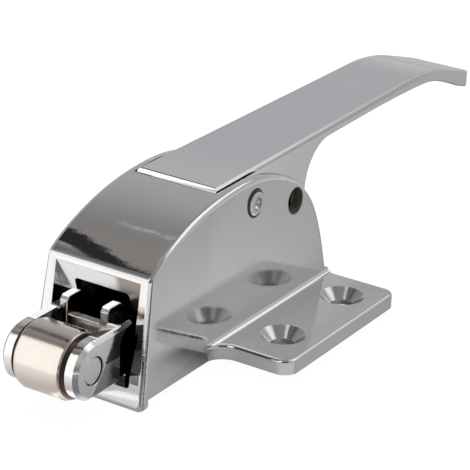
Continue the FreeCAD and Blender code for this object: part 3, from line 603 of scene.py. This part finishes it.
# light patch behind, mirrored twice: lever underside, then flange
lit_back = t.math("MULTIPLY", t.remap(over, 0.008, 0.016, 0.0, 1.0, True), t.inside(along, 0.050, 0.195, 0.010))
grey = t.mix(lit_back, pale.outputs[0], (0.68, 0.68, 0.69))
base = t.mix(near_cam, grey, blue)
base = t.mix(t.math("MULTIPLY", bright, ahead), base, (1.4, 1.4, 1.4))
# soft shade on the floor in front of and under the flanges
shade = t.ramp(t.remap(along, -0.03845, 0.03355, 0.0, 1.0),
               [(0.0, 0.0), (0.083, 0.16), (0.139, 0.27), (0.167, 0.40), (0.199, 0.54), (0.257, 0.78), (0.778, 0.78),
                (0.847, 0.50), (1.0, 0.0)])
shade = t.math("MULTIPLY", shade, t.remap(t.math("ABSOLUTE", over), 0.0265, 0.0334, 1.0, 0.0, True))
t.link(t.mix(shade, base, (0.0, 0.0, 0.0)), gl.inputs["Color"])
# shade under the flange, seen through its holes
under = t.math("MULTIPLY", t.inside(along, -0.0155, 0.0205, 0.0015), t.inside(over, -0.027, 0.027, 0.002))
t.link(t.mix(under, (1.0, 1.0, 1.0), (0.16, 0.16, 0.16)), plain.inputs["Color"])
pick = t.add("ShaderNodeMixShader")
t.link(path.outputs["Is Glossy Ray"], pick.inputs[0])
t.link(seen.outputs[0], pick.inputs[1])
t.link(gl.outputs[0], pick.inputs[2])
t.link(pick.outputs[0], out.inputs[0])
floor.data.materials.append(fm)


def card(name, pts, tone):
    """Glowing card near the object that only polished metal picks up: a painted reflection."""
    me = bpy.data.meshes.new(name)
    me.from_pydata([Vector(p) * MM for p in pts], [], [list(range(len(pts)))])
    o = bpy.data.objects.new(name, me)
    scene.collection.objects.link(o)
    mat = new_material(name)
    k = Tree(mat.node_tree)
    e = k.add("ShaderNodeEmission")
    e.inputs["Color"].default_value = (tone[0], tone[1], tone[2], 1)
    k.link(e.outputs[0], k.add("ShaderNodeOutputMaterial").inputs[0])
    me.materials.append(mat)
    o.visible_camera = False
    o.visible_shadow = False
    o.visible_diffuse = False
    return o


NOSE = [(5.3, 26.9), (6.1, 27.5), (6.9, 28.0), (8.7, 29.0), (10.5, 29.9), (14.4, 31.6)]


def seen_at(y, az, el, height, x=6.8, z=28.0):
    """Where a reflection that leaves the nose at width y meets the plane z = height (mm)."""
    a, e = math.radians(az), math.radians(el)
    k = (height - z) / math.sin(e)
    return (x - OX + k * math.cos(e) * math.cos(a), y + k * math.cos(e) * math.sin(a), height)


def jagged(pts, amp, step, seed):
    """Breaks straight runs into uneven teeth."""
    rng = random.Random(seed)
    out = []
    for p, q in zip(pts, pts[1:]):
        d = math.hypot(q[0] - p[0], q[1] - p[1])
        n = max(1, int(d / step))
        nx, ny = -(q[1] - p[1]) / max(d, 1e-6), (q[0] - p[0]) / max(d, 1e-6)
        for i in range(n):
            f = (i + rng.uniform(-0.3, 0.3) * (i > 0)) / n
            w = rng.uniform(-amp, amp) if i else 0.0
            out.append((p[0] + (q[0] - p[0]) * f + nx * w, p[1] + (q[1] - p[1]) * f + ny * w, p[2]))
    out.append(pts[-1])
    return out


HGT = 112.0
start = [seen_at(y, a, e, HGT) for y, a, e in ((15, 93, 55), (9, 97, 56), (5, 103.5, 55.5), (-3, 107.5, 56), (-9, 110.5, 56.5), (-12, 108, 58))]
stop = [seen_at(y, a, e, HGT, 8.0, 28.6) for y, a, e in ((-12, 107, 58), (-9, 106, 57.5), (-3, 96, 57.5), (4, 85, 57), (9, 80, 56), (15, 75, 55))]
card("dark_card", jagged(start, 1.2, 4.0, 3) + jagged(stop, 3.6, 2.2, 5), (0.030, 0.030, 0.032))
glow = [(p[0] - 3.2, p[1] - 0.8, p[2] + 0.5) for p in jagged(start, 1.0, 4.0, 3)]
card("edge_glow", glow + [(p[0] - 2.2, p[1] - 0.6, p[2]) for p in reversed(glow)], (0.40, 0.40, 0.40))
wire = [seen_at(y, a, e, HGT, 14.4, 31.6) for y, a, e in ((1, 63.5, 53), (-4, 62.5, 53.4), (-9, 61.5, 53.8), (-14, 59.5, 53.8))]
wire = jagged(wire, 2.8, 1.6, 11)
card("bright_wire", wire + [(p[0] + 1.6, p[1] + 1.0, p[2]) for p in reversed(wire)], (0.60, 0.60, 0.59))
# low white card in front of the roller
card("low_card", [(-29 - OX, -2, 7), (-29 - OX, 62, 7), (-29 - OX, 62, 50), (-29 - OX, -2, 50)], (1.28, 1.26, 1.24))

# ---------------------------------------------------------------- surroundings
world = bpy.data.worlds.new("studio")
scene.world = world
world.use_nodes = True
world.node_tree.nodes.clear()
t = Tree(world.node_tree)
wout = t.add("ShaderNodeOutputWorld")
bg = t.add("ShaderNodeBackground")
t.link(bg.outputs[0], wout.inputs[0])
gen = t.add("ShaderNodeTexCoord").outputs["Generated"]
nrm = t.add("ShaderNodeVectorMath", operation="NORMALIZE")
t.link(gen, nrm.inputs[0])
sep = t.add("ShaderNodeSeparateXYZ")
t.link(nrm.outputs[0], sep.inputs[0])
X, Y, Z = sep.outputs
elev = t.math("MULTIPLY", t.math("ARCSINE", Z), 180.0 / math.pi)
flat = t.math("SQRT", t.math("MAXIMUM", t.math("SUBTRACT", 1.0, t.math("MULTIPLY", Z, Z)), 1e-4))
toward = t.math("DIVIDE", t.math("ADD", t.math("MULTIPLY", X, -0.863), t.math("MULTIPLY", Y, 0.489)), flat)
pos01 = t.remap(elev, -10.0, 90.0, 0.0, 1.0)


def at(deg):
    return (deg + 10.0) / 100.0


right = t.ramp(pos01, [(at(-10), 0.60), (at(5), 0.60), (at(23), (0.515, 0.52, 0.535)), (at(31), 0.495), (at(38), 0.46),
                       (at(43), 0.42), (at(47), 0.38), (at(51), (0.325, 0.32, 0.32)), (at(54), (0.29, 0.28, 0.275)),
                       (at(57), (0.30, 0.28, 0.262)), (at(66), 0.33), (at(90), 0.45)])
left = t.ramp(pos01, [(at(-10), 1.38), (at(0), 1.25), (at(11), 1.05), (at(27), 0.62), (at(38), 0.39), (at(45), 0.27),
                      (at(50), 0.20), (at(55), 0.165), (at(66), 0.165), (at(90), 0.40)])
az_left = t.remap(toward, 0.63, 0.70, 0.0, 1.0, True)
col = t.mix(az_left, right, left)


def heading(deg):
    """Cosine of the angle on plan between the direction looked at and the given azimuth."""
    a = math.radians(deg)
    return t.math("DIVIDE", t.math("ADD", t.math("MULTIPLY", X, math.cos(a)), t.math("MULTIPLY", Y, math.sin(a))), flat)


# soft box at the right front that draws the light lines along the rounded edges
box_h = t.remap(heading(-34), 0.70, 0.92, 0.0, 1.0, True)
box_v = t.math("MULTIPLY", t.remap(elev, 28.0, 38.0, 0.0, 1.0, True), t.remap(elev, 66.0, 76.0, 1.0, 0.0, True))
col = t.mix(t.math("MULTIPLY", box_h, box_v), col, (1.30, 1.29, 1.28))
# dark wall around the camera
cam_h = t.remap(heading(-150), 0.80, 0.93, 0.0, 1.0, True)
cam_v = t.remap(elev, 48.0, 60.0, 1.0, 0.0, True)
col = t.mix(t.math("MULTIPLY", cam_h, cam_v), col, (0.085, 0.085, 0.085))
# white sheet to the left of the camera
sheet = t.math("MULTIPLY", t.remap(heading(180), 0.945, 0.985, 0.0, 1.0, True), t.remap(elev, 10.0, 20.0, 0.0, 1.0, True))
sheet = t.math("MULTIPLY", sheet, t.remap(elev, 60.0, 68.0, 1.0, 0.0, True))
col = t.mix(sheet, col, (1.22, 1.22, 1.22))
wp = t.add("ShaderNodeLightPath")
col = t.mix(wp.outputs["Is Camera Ray"], col, (1.0, 1.0, 1.0))
t.link(col, bg.inputs["Color"])
bg.inputs["Strength"].default_value = 1.0


def area(name, loc, target, size, power, color=(1, 1, 1)):
    d = bpy.data.lights.new(name, "AREA")
    d.shape = "RECTANGLE"
    d.size, d.size_y = size
    d.energy = power
    d.color = color
    o = bpy.data.objects.new(name, d)
    scene.collection.objects.link(o)
    o.location = loc
    o.rotation_mode = "QUATERNION"
    o.rotation_quaternion = (Vector(target) - Vector(loc)).to_track_quat("-Z", "Y")
    return o


top = area("top_soft", (0.05, 0.0, 0.9), (0, 0, 0), (0.9, 0.9), 14.0)
top.visible_glossy = False

# ---------------------------------------------------------------- camera
AZ, EL, ROLL = math.radians(-57.81), math.radians(23.29), math.radians(2.19)
F_PX, CX, CY = 2269.781, 235.682, 233.286
cam_data = bpy.data.cameras.new("camera")
cam = bpy.data.objects.new("camera", cam_data)
scene.collection.objects.link(cam)
scene.camera = cam
cam_data.sensor_width = 36.0
cam_data.lens = F_PX * 36.0 / 470.0
cam_data.shift_x = (235.0 - CX) / 470.0
cam_data.shift_y = (CY - 235.0) / 470.0
cam_data.clip_start, cam_data.clip_end = 0.02, 20.0
back = Vector((math.sin(AZ) * math.cos(EL), -math.cos(AZ) * math.cos(EL), math.sin(EL)))
fwd = -back
right_v = fwd.cross(Vector((0, 0, 1))).normalized()
up_v = right_v.cross(fwd)
r2 = right_v * math.cos(ROLL) + up_v * math.sin(ROLL)
u2 = -right_v * math.sin(ROLL) + up_v * math.cos(ROLL)
m = Matrix((r2, u2, back)).transposed().to_4x4()
m.translation = Vector((-0.398456, -0.253936, 0.220330))
cam.matrix_world = m

scene.view_settings.view_transform = "Standard"
scene.view_settings.look = "None"
